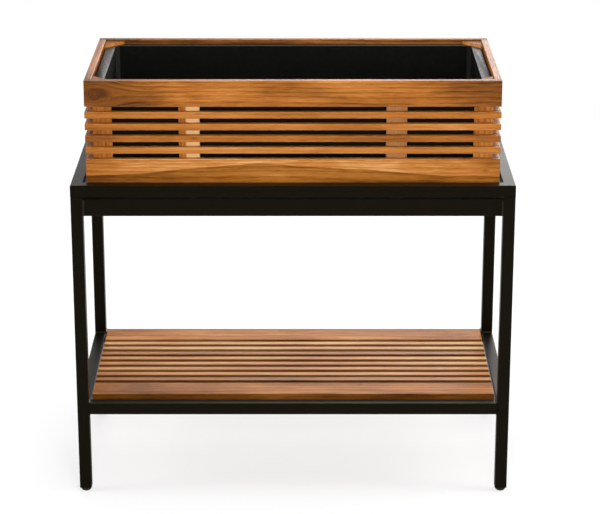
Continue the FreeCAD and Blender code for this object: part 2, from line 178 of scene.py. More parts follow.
woodFigureSet = {
    "wave": {"stretch": (1.7, 10.0, 10.0), "output": "Color"},           # slow swing of the grain
    "waveReach": 0.018,
    "ripple": {"stretch": (11.0, 60.0, 60.0), "output": "Color"},
    "rippleReach": 0.0016,
    "ringWidth": 0.0064,
    "ringShades": ((0.0, 0.35), (0.15, 1.0), (0.6, 0.75), (0.92, 0.0), (1.0, 0.35)),
    "patterns": {
        "patch": {"stretch": (3.4, 16.0, 16.0)},                         # broad light and dark stretches
        "mottle": {"stretch": (8.0, 40.0, 40.0)},
        "fibre": {"stretch": (24.0, 300.0, 300.0), "detail": 3.0, "rough": 0.62},
        "streak": {"stretch": (1.5, 85.0, 85.0), "rough": 0.45},         # long dark mineral streaks
        "fleck": {"stretch": (28.0, 340.0, 340.0), "detail": 3.0, "rough": 0.6},     # bunched pores
        "pore": {"stretch": (85.0, 2300.0, 2300.0), "detail": 1.0},
    },
    "bands": {"streak": (0.60, 0.76), "fleck": (0.52, 0.70), "pore": (0.58, 0.70)},
    "pinStretch": (9.0, 26.0, 26.0),
    "pinBand": (0.10, 0.03),
    "knotFlat": (0.55, 1.0, 0.0),        # a knot is longer along the board
    "knotSpread": 3.2,                   # how far the grain bends round it, in knot sizes
    "knotBand": (1.25, 0.45),
    "knotRings": 4.2,
    "middleTone": 0.5,
    "leans": {"patch": 0.95, "mottle": 0.50, "fibre": 0.58, "ring": 0.20},       # lighter and darker
    "shades": {"pore": 0.05, "streak": 0.13, "fleck": 0.16, "pinKnot": 0.22, "inKnot": 0.24},
    "heartSpan": 0.26,                   # half length of the hump in a heartwood line
    "heartFall": 0.37,                   # share of the hump's height that is left there
    "heartWander": {"patch": 0.014, "mottle": 0.016, "fibre": 0.004},
    "heartBand": (-0.0010, 0.0016),
    "heartShade": 0.30,
    "heartTint": (0.80, 0.86, 0.52, 1.0),
    "heartTintShare": 0.5,
    "seamStart": (-0.0012, 0.0010),
    "seamEnd": (0.009, 0.0015),
    "seamShade": 0.12,
    "colours": ((0.0, (0.085, 0.026, 0.005)), (0.3, (0.245, 0.078, 0.011)), (0.5, (0.415, 0.138, 0.020)),
                (0.7, (0.560, 0.207, 0.042)), (1.0, (0.800, 0.420, 0.150))),
    # paler arrises: wear, and a painted highlight on the rounded edges
    "paleEdgeAndHighlight": (0.74, 0.40, 0.16, 1.0),
    "paleEdgeAndHighlightShare": 0.35,
    "endAndEdgeShadeTint": (0.25, 0.25, 0.25, 1.0),
    "rough": 0.38,
    "fibreRough": 0.30,
    "poreRough": 0.10,
    "endRough": 0.15,
    "fibreHeight": 0.8,
    "ringHeight": 0.25,
    "poreDepth": 0.5,
}


def makeWoodFigure():
    use = woodFigureSet
    takes = {"Grain": "Vector", "Tree Spot": "Vector", "Tone": "Float", "Figure": "Float",
             "End Grain And Edge Shade": "Float", "Edge": "Float", "Knot At": "Vector", "Knot Size": "Float",
             "Heart Base": "Float", "Heart Rise": "Float", "Heart Middle": "Float"}
    gives = {"Color": "Color", "Rough": "Float", "Height": "Float"}
    tree, take, give = newGroup("woodFigure", takes, gives)

    # a knot pushes the grain lines aside and draws rings of its own
    toKnot = vectorNode(tree, "SUBTRACT", take["Grain"], take["Knot At"])
    flat = vectorNode(tree, "MULTIPLY", toKnot, use["knotFlat"])
    reach = mathNode(tree, "DIVIDE", vectorNode(tree, "LENGTH", flat), take["Knot Size"])
    inKnot = rampNode(tree, reach, *use["knotBand"])
    squeeze = joinNode(tree, 1.0, rampNode(tree, reach, 0.0, use["knotSpread"]), 1.0)
    bent = vectorNode(tree, "MULTIPLY", toKnot, squeeze)
    bent = vectorNode(tree, "ADD", take["Knot At"], bent)
    spot = vectorNode(tree, "ADD", bent, take["Tree Spot"])

    # the grain sways slowly along the board, with a small ripple
    swayed = spot
    for name in ("wave", "ripple"):
        sway = vectorNode(tree, "SUBTRACT", noiseNode(tree, spot, **use[name]), (0.5, 0.5, 0.5))
        sway = vectorNode(tree, "MULTIPLY", sway, (0.0, use[name + "Reach"], use[name + "Reach"]))
        swayed = vectorNode(tree, "ADD", swayed, sway)

    fromPith = vectorNode(tree, "LENGTH", vectorNode(tree, "MULTIPLY", swayed, (0.0, 1.0, 1.0)))
    treeRings = mathNode(tree, "DIVIDE", fromPith, use["ringWidth"])
    treeRings = mathNode(tree, "MULTIPLY", treeRings, mathNode(tree, "SUBTRACT", 1.0, inKnot))
    knotRings = mathNode(tree, "MULTIPLY", reach, use["knotRings"])
    rings = addShare(tree, treeRings, knotRings, inKnot)
    ringStops = [(place, (shade,) * 3) for place, shade in use["ringShades"]]
    marks = {"inKnot": inKnot, "ring": colourBand(tree, mathNode(tree, "FRACT", rings), ringStops)}
    for name, pattern in use["patterns"].items():
        marks[name] = noiseNode(tree, swayed, **pattern)
    for name, band in use["bands"].items():
        marks[name] = rampNode(tree, marks[name], *band)
    pins = tree.nodes.new("ShaderNodeTexVoronoi")
    pins.inputs["Scale"].default_value = 1.0
    plug(tree, vectorNode(tree, "MULTIPLY", spot, use["pinStretch"]), pins.inputs["Vector"])
    marks["pinKnot"] = rampNode(tree, pins.outputs["Distance"], *use["pinBand"])

    swing = 0.0
    for name, weight in use["leans"].items():
        swing = addLean(tree, swing, marks[name], weight)
    for name, weight in use["shades"].items():
        swing = addShare(tree, swing, marks[name], -weight)
    tone = mathNode(tree, "ADD", take["Tone"], use["middleTone"])
    tone = addShare(tree, tone, swing, take["Figure"])

    # heartwood below a humped line, with a dark seam along it
    place = splitNode(tree, take["Grain"])
    along = mathNode(tree, "SUBTRACT", place[0], take["Heart Middle"])
    along = mathNode(tree, "DIVIDE", along, use["heartSpan"])
    hump = mathNode(tree, "POWER", use["heartFall"], mathNode(tree, "MULTIPLY", along, along))
    line = addShare(tree, take["Heart Base"], hump, take["Heart Rise"])
    for name, wander in use["heartWander"].items():
        line = addLean(tree, line, marks[name], wander)
    below = mathNode(tree, "SUBTRACT", line, place[1])
    heart = rampNode(tree, below, *use["heartBand"])
    seam = rampNode(tree, below, *use["seamStart"])
    seam = mathNode(tree, "MULTIPLY", seam, rampNode(tree, below, *use["seamEnd"]))
    tone = addShare(tree, tone, heart, -use["heartShade"])
    tone = addShare(tree, tone, seam, -use["seamShade"])

    colour = colourBand(tree, tone, use["colours"])
    share = mathNode(tree, "MULTIPLY", heart, use["heartTintShare"])
    colour = mixNode(tree, share, colour, use["heartTint"], "MULTIPLY")
    # paler arrises: wear, and a painted highlight on the rounded edges
    share = mathNode(tree, "MULTIPLY", take["Edge"], use["paleEdgeAndHighlightShare"])
    colour = mixNode(tree, share, colour, use["paleEdgeAndHighlight"])
    # darker sawn ends, and painted shade on the long edges of shelf boards and slats
    endAndEdgeShadeColour = mixNode(tree, 1.0, colour, use["endAndEdgeShadeTint"], "MULTIPLY")
    plug(tree, mixNode(tree, take["End Grain And Edge Shade"], colour, endAndEdgeShadeColour), give["Color"])

    rough = addLean(tree, use["rough"], marks["fibre"], use["fibreRough"])
    rough = addShare(tree, rough, marks["pore"], use["poreRough"])
    plug(tree, addShare(tree, rough, take["End Grain And Edge Shade"], use["endRough"]), give["Rough"])
    height = addLean(tree, 0.0, marks["fibre"], use["fibreHeight"])
    height = addLean(tree, height, marks["ring"], use["ringHeight"])
    plug(tree, addShare(tree, height, marks["pore"], -use["poreDepth"]), give["Height"])
    return tree


edgeWearAndHighlight = makeEdgeWearAndHighlight()
woodFigure = makeWoodFigure()


def startMaterial(name):
    material = bpy.data.materials.new(name)
    material.use_nodes = True
    tree = material.node_tree
    coordinate = tree.nodes.new("ShaderNodeTexCoord").outputs
    return material, tree, tree.nodes["Principled BSDF"].inputs, coordinate


def wornAndLitEdges(tree, coordinate, scale, upright=1.0):
    return useGroup(tree, edgeWearAndHighlight, Place=coordinate["Object"], Normal=coordinate["Normal"],
                    Scale=scale, Upright=upright)


def bumpInto(tree, skin, height, depth, strength):
    bump = tree.nodes.new("ShaderNodeBump")
    bump.inputs["Distance"].default_value = depth
    bump.inputs["Strength"].default_value = strength
    plug(tree, height, bump.inputs["Height"])
    plug(tree, bump.outputs[0], skin["Normal"])


def attributeNode(tree, name, output):
    node = tree.nodes.new("ShaderNodeAttribute")
    node.attribute_name = name
    return node.outputs[output]


woodSet = {
    "wearScale": 55.0,
    "bump": {"depth": 0.0004, "strength": 0.55},
    "boardShine": 0.2,
    "drilledShine": 0.3,
    "drilledSpot": (3.1, 0.05, 0.04),    # where in the tree the drilled pieces grew
    "endBand": (0.75, 0.95),             # how squarely a face looks along the grain
}
noKnot = {"Knot At": (0.0, 9.0, 0.0), "Knot Size": 0.01}
noHeart = {"Heart Base": -9.0, "Heart Rise": 0.0, "Heart Middle": 0.0}


def finishWood(tree, skin, figure, shine):
    skin["Specular IOR Level"].default_value = shine
    plug(tree, figure["Color"], skin["Base Color"])
    plug(tree, figure["Rough"], skin["Roughness"])
    bumpInto(tree, skin, figure["Height"], **woodSet["bump"])


# boards sawn here carry their own grain direction, spot in the tree, tone, end faces and painted shade on
# long edges
def boardWood(name, shine=woodSet["boardShine"], knot=noKnot, heart=noHeart, upright=1.0):
    material, tree, skin, coordinate = startMaterial(name)
    settings = {**knot, **heart}
    settings["Grain"] = attributeNode(tree, "grain", "Vector")
    settings["Tree Spot"] = attributeNode(tree, "treeSpot", "Vector")
    settings["Tone"] = attributeNode(tree, "tone", "Fac")
    settings["Figure"] = attributeNode(tree, "figure", "Fac")
    settings["End Grain And Edge Shade"] = attributeNode(tree, "endGrainAndEdgeShade", "Fac")
    settings["Edge"] = wornAndLitEdges(tree, coordinate, woodSet["wearScale"], upright)["Worn"]
    finishWood(tree, skin, useGroup(tree, woodFigure, **settings), shine)
    return material


# uprights and battens keep their drilled solids, so their grain runs along an object axis
def drilledWood(name, order, tone, pale=None, paleShare=0.0, sapLine=None):
    material, tree, skin, coordinate = startMaterial(name)
    axes = ["XYZ".index(axis) for axis in order]
    place = splitNode(tree, coordinate["Object"])
    facing = splitNode(tree, vectorNode(tree, "ABSOLUTE", coordinate["Normal"]))
    settings = {**noKnot, **noHeart, "Tree Spot": woodSet["drilledSpot"], "Tone": tone, "Figure": 1.0}
    settings["Grain"] = joinNode(tree, *(place[axis] for axis in axes))
    settings["End Grain And Edge Shade"] = rampNode(tree, facing[axes[0]], *woodSet["endBand"])
    settings["Edge"] = wornAndLitEdges(tree, coordinate, woodSet["wearScale"])["Worn"]
    figure = useGroup(tree, woodFigure, **settings)
    finishWood(tree, skin, figure, woodSet["drilledShine"])
    if sapLine:                          # dark wood to the left of the line, pale sapwood to the right
        paleShare = rampNode(tree, place[0], *sapLine, 0.0, paleShare)
    if pale:
        plug(tree, mixNode(tree, paleShare, figure["Color"], pale), skin["Base Color"])
    return material


steelSet = {
    "coat": (0.0034, 0.0027, 0.0015, 1.0),
    "cloudCoat": (0.0051, 0.00405, 0.00225, 1.0),
    "thinCoatAndHighlight": (0.014, 0.013, 0.011, 1.0),      # where the coat pulls thin on an arris, drawn lighter: wear, and a painted highlight along the edges
    "thinCoatAndHighlightShare": 0.7,
    "wearScale": 90.0,
    "cloud": {"stretch": (7.0, 7.0, 7.0), "detail": 3.0, "rough": 0.55},
    "peel": {"stretch": (950.0, 950.0, 950.0)},
    "rough": 0.29,
    "cloudRough": 0.14,
    "peelRough": 0.06,
    "glossTint": (1.0, 0.80, 0.52, 1.0),
    "bump": {"depth": 0.00006, "strength": 0.5},
}


def makeStandSteel(name, shine):
    use = steelSet
    material, tree, skin, coordinate = startMaterial(name)
    wear = wornAndLitEdges(tree, coordinate, use["wearScale"])
    cloud = noiseNode(tree, coordinate["Object"], **use["cloud"])
    peel = noiseNode(tree, coordinate["Object"], **use["peel"])
    coat = mixNode(tree, cloud, use["coat"], use["cloudCoat"])
    # lighter arrises: thin coat, and a painted highlight along the edges
    thin = mathNode(tree, "MULTIPLY", wear["Worn"], use["thinCoatAndHighlightShare"])
    plug(tree, mixNode(tree, thin, coat, use["thinCoatAndHighlight"]), skin["Base Color"])
    rough = addShare(tree, use["rough"], cloud, use["cloudRough"])
    plug(tree, addShare(tree, rough, peel, use["peelRough"]), skin["Roughness"])
    skin["Specular IOR Level"].default_value = shine
    skin["Specular Tint"].default_value = use["glossTint"]
    bumpInto(tree, skin, peel, **use["bump"])
    return material


linerSet = {
    "plastic": (0.0052, 0.0056, 0.0040, 1.0),
    # scuffed grey, also the colour of the painted highlight on the lip and rim edges
    "scuffed": (0.045, 0.050, 0.052, 1.0),
    "wearScale": 120.0,
    "edgeHighlight": 0.45,
    "wornScuff": 0.25,
    "mottle": {"stretch": (160.0, 160.0, 160.0), "detail": 4.0, "rough": 0.65},
    "mottleScuff": (0.5, 0.8, 0.0, 0.10),
    "mottleRough": (0.35, 0.65, 0.32, 0.50),
    "mottleHeight": 2.5,
    "stipple": {"stretch": (1400.0, 1400.0, 1400.0), "detail": 1.0},
    "shine": 0.18,
    "bump": {"depth": 0.00012, "strength": 0.5},
}


def makeLinerPlastic():
    use = linerSet
    material, tree, skin, coordinate = startMaterial("linerPlastic")
    wear = wornAndLitEdges(tree, coordinate, use["wearScale"], upright=0.0)
    mottle = noiseNode(tree, coordinate["Object"], **use["mottle"])
    stipple = noiseNode(tree, coordinate["Object"], **use["stipple"])
    scuff = rampNode(tree, mottle, *use["mottleScuff"])
    # painted highlight along the level arrises, then real scuffs on the worn patches
    scuff = addShare(tree, scuff, wear["Edge"], use["edgeHighlight"])
    scuff = addShare(tree, scuff, wear["Worn"], use["wornScuff"])
    plug(tree, mixNode(tree, scuff, use["plastic"], use["scuffed"]), skin["Base Color"])
    plug(tree, rampNode(tree, mottle, *use["mottleRough"]), skin["Roughness"])
    skin["Specular IOR Level"].default_value = use["shine"]
    bumpInto(tree, skin, addShare(tree, stipple, mottle, use["mottleHeight"]), **use["bump"])
    return material


footFinish = {
    "plastic": (0.011, 0.011, 0.011, 1.0),
    "scuffed": (0.035, 0.034, 0.032, 1.0),
    "scuff": {"stretch": (240.0, 240.0, 240.0), "detail": 3.0, "rough": 0.6},
    "scuffBand": (0.5, 0.8),
    "scuffRough": (0.3, 0.7, 0.42, 0.62),
    "stipple": {"stretch": (2200.0, 2200.0, 2200.0), "detail": 1.0},
    "bump": {"depth": 0.00008, "strength": 0.5},
}


def makeFootPlastic():
    use = footFinish
    material, tree, skin, coordinate = startMaterial("footPlastic")
    scuff = noiseNode(tree, coordinate["Object"], **use["scuff"])
    stipple = noiseNode(tree, coordinate["Object"], **use["stipple"])
    share = rampNode(tree, scuff, *use["scuffBand"])
    plug(tree, mixNode(tree, share, use["plastic"], use["scuffed"]), skin["Base Color"])
    plug(tree, rampNode(tree, scuff, *use["scuffRough"]), skin["Roughness"])
    bumpInto(tree, skin, stipple, **use["bump"])
    return material


screwSet = {
    "dark": (0.42, 0.41, 0.38, 1.0),
    "bright": (0.66, 0.64, 0.58, 1.0),
    "brushed": {"stretch": (2600.0, 260.0, 260.0)},
    "brushedRough": (0.3, 0.7, 0.24, 0.42),
    "bump": {"depth": 0.00004, "strength": 0.4},
}


def makeScrewSteel():
    use = screwSet
    material, tree, skin, coordinate = startMaterial("screwSteel")
    brushed = noiseNode(tree, coordinate["Object"], **use["brushed"])
    plug(tree, mixNode(tree, brushed, use["dark"], use["bright"]), skin["Base Color"])
    plug(tree, rampNode(tree, brushed, *use["brushedRough"]), skin["Roughness"])
    skin["Metallic"].default_value = 1.0
    bumpInto(tree, skin, brushed, **use["bump"])
    return material


finishSet = {
    "knot": {"Knot At": (-0.403, -0.001, 0.0), "Knot Size": 0.0165},     # left end of the front top board
    "heart": {"Heart Base": -0.0135, "Heart Rise": 0.0265, "Heart Middle": -0.05},
    "shelfBoardShine": 0.08,
    "leftUprights": {"pale": (0.98, 0.64, 0.30, 1.0), "paleShare": 0.85, "sapLine": (-0.2225, -0.2165)},
    "rightUprights": {"pale": (0.46, 0.25, 0.11, 1.0), "paleShare": 0.6},
    "uprightTone": 0.10,
    "battenTone": 0.0,
    "standShine": 0.15,
    "weldShine": 0.8,
}
boxWood = boardWood("boxWood")
knottyWood = boardWood("knottyWood", knot=finishSet["knot"])
heartWood = boardWood("heartWood", heart=finishSet["heart"])
shelfWood = boardWood("shelfWood")
shelfBoardWood = boardWood("shelfBoardWood", finishSet["shelfBoardShine"])
postWood = boardWood("postWood", upright=0.0)
sapWood = drilledWood("sapWood", "ZXY", finishSet["uprightTone"], **finishSet["leftUprights"])
uprightWood = drilledWood("uprightWood", "ZXY", finishSet["uprightTone"], **finishSet["rightUprights"])
battenWood = drilledWood("battenWood", "YXZ", finishSet["battenTone"])
standSteel = makeStandSteel("standSteel", finishSet["standShine"])
weldSteel = makeStandSteel("weldSteel", finishSet["weldShine"])
linerPlastic = makeLinerPlastic()
footPlastic = makeFootPlastic()
screwSteel = makeScrewSteel()
print("finishes:", len(bpy.data.materials), "materials,", len(bpy.data.node_groups), "groups")


def dress(nodeName, material):
    for slot in nodes[nodeName].material_slots:
        slot.material = material


steelNodes = [f"{part}_{side}" for part in ("ring_rail", "shelf_rail", "apron") for side in sides]
steelNodes += [f"leg_{corner}" for corner in corners] + ["bed_bars", "shelf_tabs"]
for nodeName in steelNodes:
    dress(nodeName, standSteel)
for corner in corners:
    dress(f"upright_{corner}", sapWood if "left" in corner else uprightWood)
dress("shelf_battens", battenWood)
dress("leg_plugs", footPlastic)
dress("box_screws", screwSteel)
dress("shelf_screws", screwSteel)


# modelling helpers
def deselect():
    bpy.ops.object.select_all(action="DESELECT")


def pickOnly(piece):
    deselect()
    piece.select_set(True)
    bpy.context.view_layer.objects.active = piece


def joinPieces(first, others):
    pickOnly(first)
    for piece in others:
        piece.select_set(True)
    bpy.ops.object.join()


def editMode():
    bpy.ops.object.mode_set(mode="EDIT")


def objectMode():
    bpy.ops.object.mode_set(mode="OBJECT")


def pickAll():
    bpy.ops.mesh.select_all(action="SELECT")


def pickEdges(piece, wanted):            # in edit mode, selects the edges that the test wants
    work = bmesh.from_edit_mesh(piece.data)
    for face in work.faces:
        face.select_set(False)
    for edge in work.edges:
        edge.select_set(wanted(edge))
    bmesh.update_edit_mesh(piece.data)


def pickFaces(piece, wanted):
    work = bmesh.from_edit_mesh(piece.data)
    for face in work.faces:
        face.select_set(False)
    for face in work.faces:
        if wanted(face):
            face.select_set(True)
    bmesh.update_edit_mesh(piece.data)


def roundEdges(offset, steps):           # rounds the picked edges
    bpy.ops.mesh.bevel(offset=offset, segments=steps, profile=0.5, affect="EDGES")


def cutAway(spot, normal, fill):         # in edit mode, cuts off what lies past a plane
    pickAll()
    bpy.ops.mesh.bisect(plane_co=spot, plane_no=normal, use_fill=fill, clear_outer=True)


def applyModifier(piece, kind, **settings):
    modifier = piece.modifiers.new(kind.lower(), kind)
    for key, value in settings.items():
        setattr(modifier, key, value)
    pickOnly(piece)
    bpy.ops.object.modifier_apply(modifier=modifier.name)


def takeMesh(piece):                     # hands over the mesh alone
    mesh = piece.data
    bpy.data.objects.remove(piece)
    return mesh


def finishPiece(piece, body, slot, material, *replaced):
    piece.data.materials.clear()
    piece.data.materials.append(material)
    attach(piece, body)
    if replaced:
        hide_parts(*replaced)


boardSet = {
    "stations": 0.09,        # spacing of the cuts along a board, where it can swing a little
    "swing": 0.00022,
    "arris": 0.0016,
    "arrisSteps": 3,
    "smoothAngle": math.radians(40),
    "normalWeight": 80,
    "treeAlong": (1.0, 30.0),
    "treeAcross": (0.018, 0.060),
    "treeThrough": (0.030, 0.085),
    "toneSpread": 0.10,
    "endFace": 0.7,          # how dark the sawn ends are
    "squareOn": 0.6,         # a face's normal along an axis, from which it counts as square to it
}


# order names the axes along, across and through the board
def layGrain(piece, order, seed, tone=None, figure=1.0, edgeShade=0.0, endTone=0.0, endReach=0.0):
    use = boardSet
    draw = random.Random(seed)
    axes = ["xyz".index(axis) for axis in order]
    mesh = piece.data
    low = [min(v.co[a] for v in mesh.vertices) for a in axes]
    high = [max(v.co[a] for v in mesh.vertices) for a in axes]
    middle = [(l + h) / 2 for l, h in zip(low, high)]
    across = draw.choice((-1, 1)) * draw.uniform(*use["treeAcross"])
    spot = (draw.uniform(*use["treeAlong"]), across, draw.uniform(*use["treeThrough"]))
    if tone is None:
        tone = draw.uniform(-use["toneSpread"], use["toneSpread"])
    for name, kind, domain in (("grain", "FLOAT_VECTOR", "POINT"), ("treeSpot", "FLOAT_VECTOR", "POINT"),
                               ("tone", "FLOAT", "POINT"), ("figure", "FLOAT", "POINT"),
                               ("endGrainAndEdgeShade", "FLOAT", "FACE")):
        mesh.attributes.new(name, kind, domain)
    marks = mesh.attributes
    for vertex in mesh.vertices:
        along = vertex.co[axes[0]]
        nearEnd = min(along - low[0], high[0] - along) < endReach
        marks["grain"].data[vertex.index].vector = [vertex.co[a] - m for a, m in zip(axes, middle)]
        marks["treeSpot"].data[vertex.index].vector = spot
        marks["tone"].data[vertex.index].value = tone + endTone * nearEnd
        marks["figure"].data[vertex.index].value = figure
    # sawn ends are darker; long edges get painted shade where edgeShade is set, darkest on the slats whose
    # edges show in the gaps
    for face in mesh.polygons:
        sawnEnd, longEdge = (abs(face.normal[a]) > use["squareOn"] for a in axes[:2])
        shade = use["endFace"] if sawnEnd else edgeShade if longEdge else 0.0
        marks["endGrainAndEdgeShade"].data[face.index].value = shade


def addCube(extent):                     # a plain block of this size, about the origin
    deselect()
    bpy.ops.mesh.primitive_cube_add(size=1.0)
    block = bpy.context.object
    block.scale = extent
    bpy.ops.object.transform_apply(scale=True)
    return block


def roundedMesh(blank, arris):           # rounds the arrises and hands over the mesh alone
    applyModifier(blank, "BEVEL", width=arris, segments=boardSet["arrisSteps"], limit_method="ANGLE")
    bpy.ops.object.shade_smooth_by_angle(angle=boardSet["smoothAngle"])
    applyModifier(blank, "WEIGHTED_NORMAL", weight=boardSet["normalWeight"])
    return takeMesh(blank)


def sawBlank(extent, along, seed):       # one board of this size, about the origin
    blank = addCube(extent)
    editMode()
    pickEdges(blank, lambda edge: abs((edge.verts[0].co - edge.verts[1].co)[along]) > extent[along] / 2)
    bpy.ops.mesh.subdivide(number_cuts=max(1, round(extent[along] / boardSet["stations"]) - 1))
    pickAll()
    bpy.ops.transform.vertex_random(offset=boardSet["swing"], seed=seed)
    objectMode()
    return roundedMesh(blank, boardSet["arris"])


def placeCopy(name, mesh, place, turn=0.0):
    piece = bpy.data.objects.new(name, mesh.copy())
    bpy.context.collection.objects.link(piece)
    pickOnly(piece)
    piece.location = place
    piece.rotation_euler.z = turn
    bpy.ops.object.transform_apply(location=True, rotation=True)
    return piece


sawnBlanks = {}                          # boards of one size are sawn once and copied


def sawBoard(name, low, high, order, seed, **looks):
    swing = boardSet["swing"]
    extent = high - low - Vector((swing, swing, swing)) * 2
    size = (order, *(round(side, 4) for side in extent))
    if size not in sawnBlanks:
        sawnBlanks[size] = sawBlank(extent, "xyz".index(order[0]), seed)
    piece = placeCopy(name, sawnBlanks[size], (low + high) / 2)
    layGrain(piece, order, seed, **looks)
    return piece


def camel(*words):
    first, *rest = [w for word in words for w in word.split("_")]
    return first + "".join(w.capitalize() for w in rest)


# planter box: wide boards top and bottom, four narrow slats between them on every side
boxSet = {
    "slats": 4,
    "slatFigure": 0.6,
    "tones": {"front_top_board": -0.02, "front_bottom_board": 0.13, "rear_top_board": -0.22},
    "slatTones": (0.10, -0.02, 0.08, 0.09),      # front slats, from the lowest up
    "boardEnd": -0.16,
    "slatEnd": -0.06,
    "endReach": 0.05,        # the last stretch of a board, drawn darker
    "longReach": {"front_top_board": 0.10},
    "seeds": {"front": 11, "right": 31, "rear": 51, "left": 71},
    "slatSeed": 5,
}
special = {"front_top_board": knottyWood, "front_bottom_board": heartWood}
for side in sides:
    order = "xzy" if side in ("front", "rear") else "yzx"
    seed = boxSet["seeds"][side]
    for step, part in enumerate(("top_board", "bottom_board")):
        nodeName = f"{side}_{part}"
        board = sawBoard(camel(nodeName), *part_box(nodeName), order, seed + step,
                         tone=boxSet["tones"].get(nodeName), endTone=boxSet["boardEnd"],
                         endReach=boxSet["longReach"].get(nodeName, boxSet["endReach"]))
        finishPiece(board, "planter_box", "box_wood", special.get(nodeName, boxWood), nodeName)
    low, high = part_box(f"{side}_slats")
    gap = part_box(f"{side}_top_board")[0].z - high.z          # the same above, below and between the slats
    slatHeight = (high.z - low.z - gap * (boxSet["slats"] - 1)) / boxSet["slats"]
    for index in range(boxSet["slats"]):
        bottom = Vector((low.x, low.y, low.z + index * (slatHeight + gap)))
        top = Vector((high.x, high.y, bottom.z + slatHeight))
        slatSeed = seed + boxSet["slatSeed"] + index
        slat = sawBoard(camel(side, f"slat{index + 1}"), bottom, top, order, slatSeed,
                        tone=boxSet["slatTones"][index] if side == "front" else None,
                        figure=boxSet["slatFigure"], endTone=boxSet["slatEnd"],
                        endReach=boxSet["endReach"])
        finishPiece(slat, "planter_box", "box_wood", boxWood, f"{side}_slats")
print("box boards and slats sawn")

# corner posts: a square length split along its diagonal, with blunt tips
postSet = {"tip": 0.004, "arris": 0.0012, "seed": 91, "tone": 0.12}
low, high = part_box(f"corner_post_{corners[0]}")
half = (high.x - low.x) / 2
post = addCube(high - low)
editMode()
cutAway((half, postSet["tip"] - half, 0.0), (1.0, 1.0, 0.0), fill=True)
objectMode()
postMesh = roundedMesh(post, postSet["arris"])
for index, corner in enumerate(corners):         # each corner is a quarter turn on from the one before
    low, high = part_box(f"corner_post_{corner}")
    post = placeCopy(camel("corner_post", corner), postMesh, (low + high) / 2, index * math.pi / 2)
    layGrain(post, "zxy", postSet["seed"] + index, tone=postSet["tone"])
    finishPiece(post, "planter_box", "box_wood", postWood, f"corner_post_{corner}")
print("corner posts split")

# shelf: a wide board front and rear with eight slats between them
shelfSet = {
    "slats": 8,
    "seed": 131,
    "slatSeed": 5,
    "boardTones": {"front": -0.08, "rear": 0.08},
    "boardFigure": 0.9,
    "boardEdge": 0.78,       # how dark the painted shade on the long edges is
    "slatTones": (-0.04, 0.18, 0.18, 0.19, 0.28, 0.00, 0.32, 0.29),      # from the front
    "slatFigure": 0.7,
    # painted shade on the slats' long edges, which show in the gaps
    "slatEdge": 1.0,
}
for step, side in enumerate(("front", "rear")):
    nodeName = f"shelf_{side}_board"
    board = sawBoard(camel(nodeName), *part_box(nodeName), "xyz", shelfSet["seed"] + step,
                     tone=shelfSet["boardTones"][side], figure=shelfSet["boardFigure"],
                     edgeShade=shelfSet["boardEdge"])
    finishPiece(board, "shelf", "shelf_wood", shelfBoardWood, nodeName)
for index in range(shelfSet["slats"]):
    nodeName = f"shelf_slat_{index + 1}"
    seed = shelfSet["seed"] + shelfSet["slatSeed"] + index
    slat = sawBoard(camel(nodeName), *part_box(nodeName), "xyz", seed, tone=shelfSet["slatTones"][index],
                    figure=shelfSet["slatFigure"], edgeShade=shelfSet["slatEdge"])
    finishPiece(slat, "shelf", "shelf_wood", shelfWood, nodeName)
print("shelf boards sawn")

# liner: a tub with a flat rim, both clipped at the corners, and drain holes in its floor
linerSize = {
    "wall": 0.002,
    "rim": 0.017,
    "tubClip": 0.00978,
    "floorRound": 0.008,
    "floorSteps": 6,
    "lip": 0.0022,           # rounding where the wall turns out into the rim
    "lipSteps": 4,
    "lipAngle": math.radians(80),
    "edge": 0.0005,
    "edgeSteps": 2,
    "edgeAngle": math.radians(60),
    "smoothAngle": math.radians(35),
    "drainRadius": 0.005,
    "drainSides": 24,
    "drainsAcross": 0.08,
    "drillLength": 0.012,
    "bars": 5,
}
wall = linerSize["wall"]
low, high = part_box("liner")
rimClip = high.x - max(v.co.x for v in nodes["liner"].data.vertices if v.co.y > high.y - wall / 4)


def clippedPlane(halfX, halfY, height, clip):
    deselect()
    bpy.ops.mesh.primitive_plane_add(size=2.0, location=(0.0, 0.0, height))
    sheet = bpy.context.object
    sheet.scale = (halfX, halfY, 1.0)
    bpy.ops.object.transform_apply(location=True, scale=True)
    editMode()
    for signX, signY in ((-1, -1), (1, -1), (1, 1), (-1, 1)):
        cutAway((signX * (halfX - clip), signY * halfY, height), (signX, signY, 0.0), fill=False)
    objectMode()
    return sheet


tubX = high.x - linerSize["rim"] - wall
tubY = high.y - linerSize["rim"] - wall
floorTop = low.z + wall
tubClip = linerSize["tubClip"] - wall * (2 - math.sqrt(2))
tub = clippedPlane(tubX, tubY, high.z, tubClip)
editMode()
pickAll()
bpy.ops.mesh.extrude_region_move(TRANSFORM_OT_translate={"value": (0.0, 0.0, floorTop - high.z)})
pickFaces(tub, lambda face: face.calc_center_median().z > high.z - wall)
bpy.ops.mesh.delete(type="ONLY_FACE")
pickEdges(tub, lambda edge: all(v.co.z < floorTop + wall for v in edge.verts))
roundEdges(linerSize["floorRound"], linerSize["floorSteps"])
objectMode()
rim = clippedPlane(high.x, high.y, high.z, rimClip)
editMode()
pickAll()
bpy.ops.mesh.delete(type="ONLY_FACE")
objectMode()
joinPieces(tub, [rim])
tub.name = "linerTub"
editMode()
pickEdges(tub, lambda edge: edge.is_boundary or edge.is_wire)
bpy.ops.mesh.bridge_edge_loops()
pickEdges(tub, lambda edge: len(edge.link_faces) == 2 and edge.calc_face_angle() > linerSize["lipAngle"]
          and all(v.co.z > high.z - wall / 2 for v in edge.verts))
roundEdges(linerSize["lip"], linerSize["lipSteps"])
pickAll()
bpy.ops.mesh.normals_make_consistent(inside=False)
objectMode()
floorFace = max(tub.data.polygons, key=lambda face: face.area)
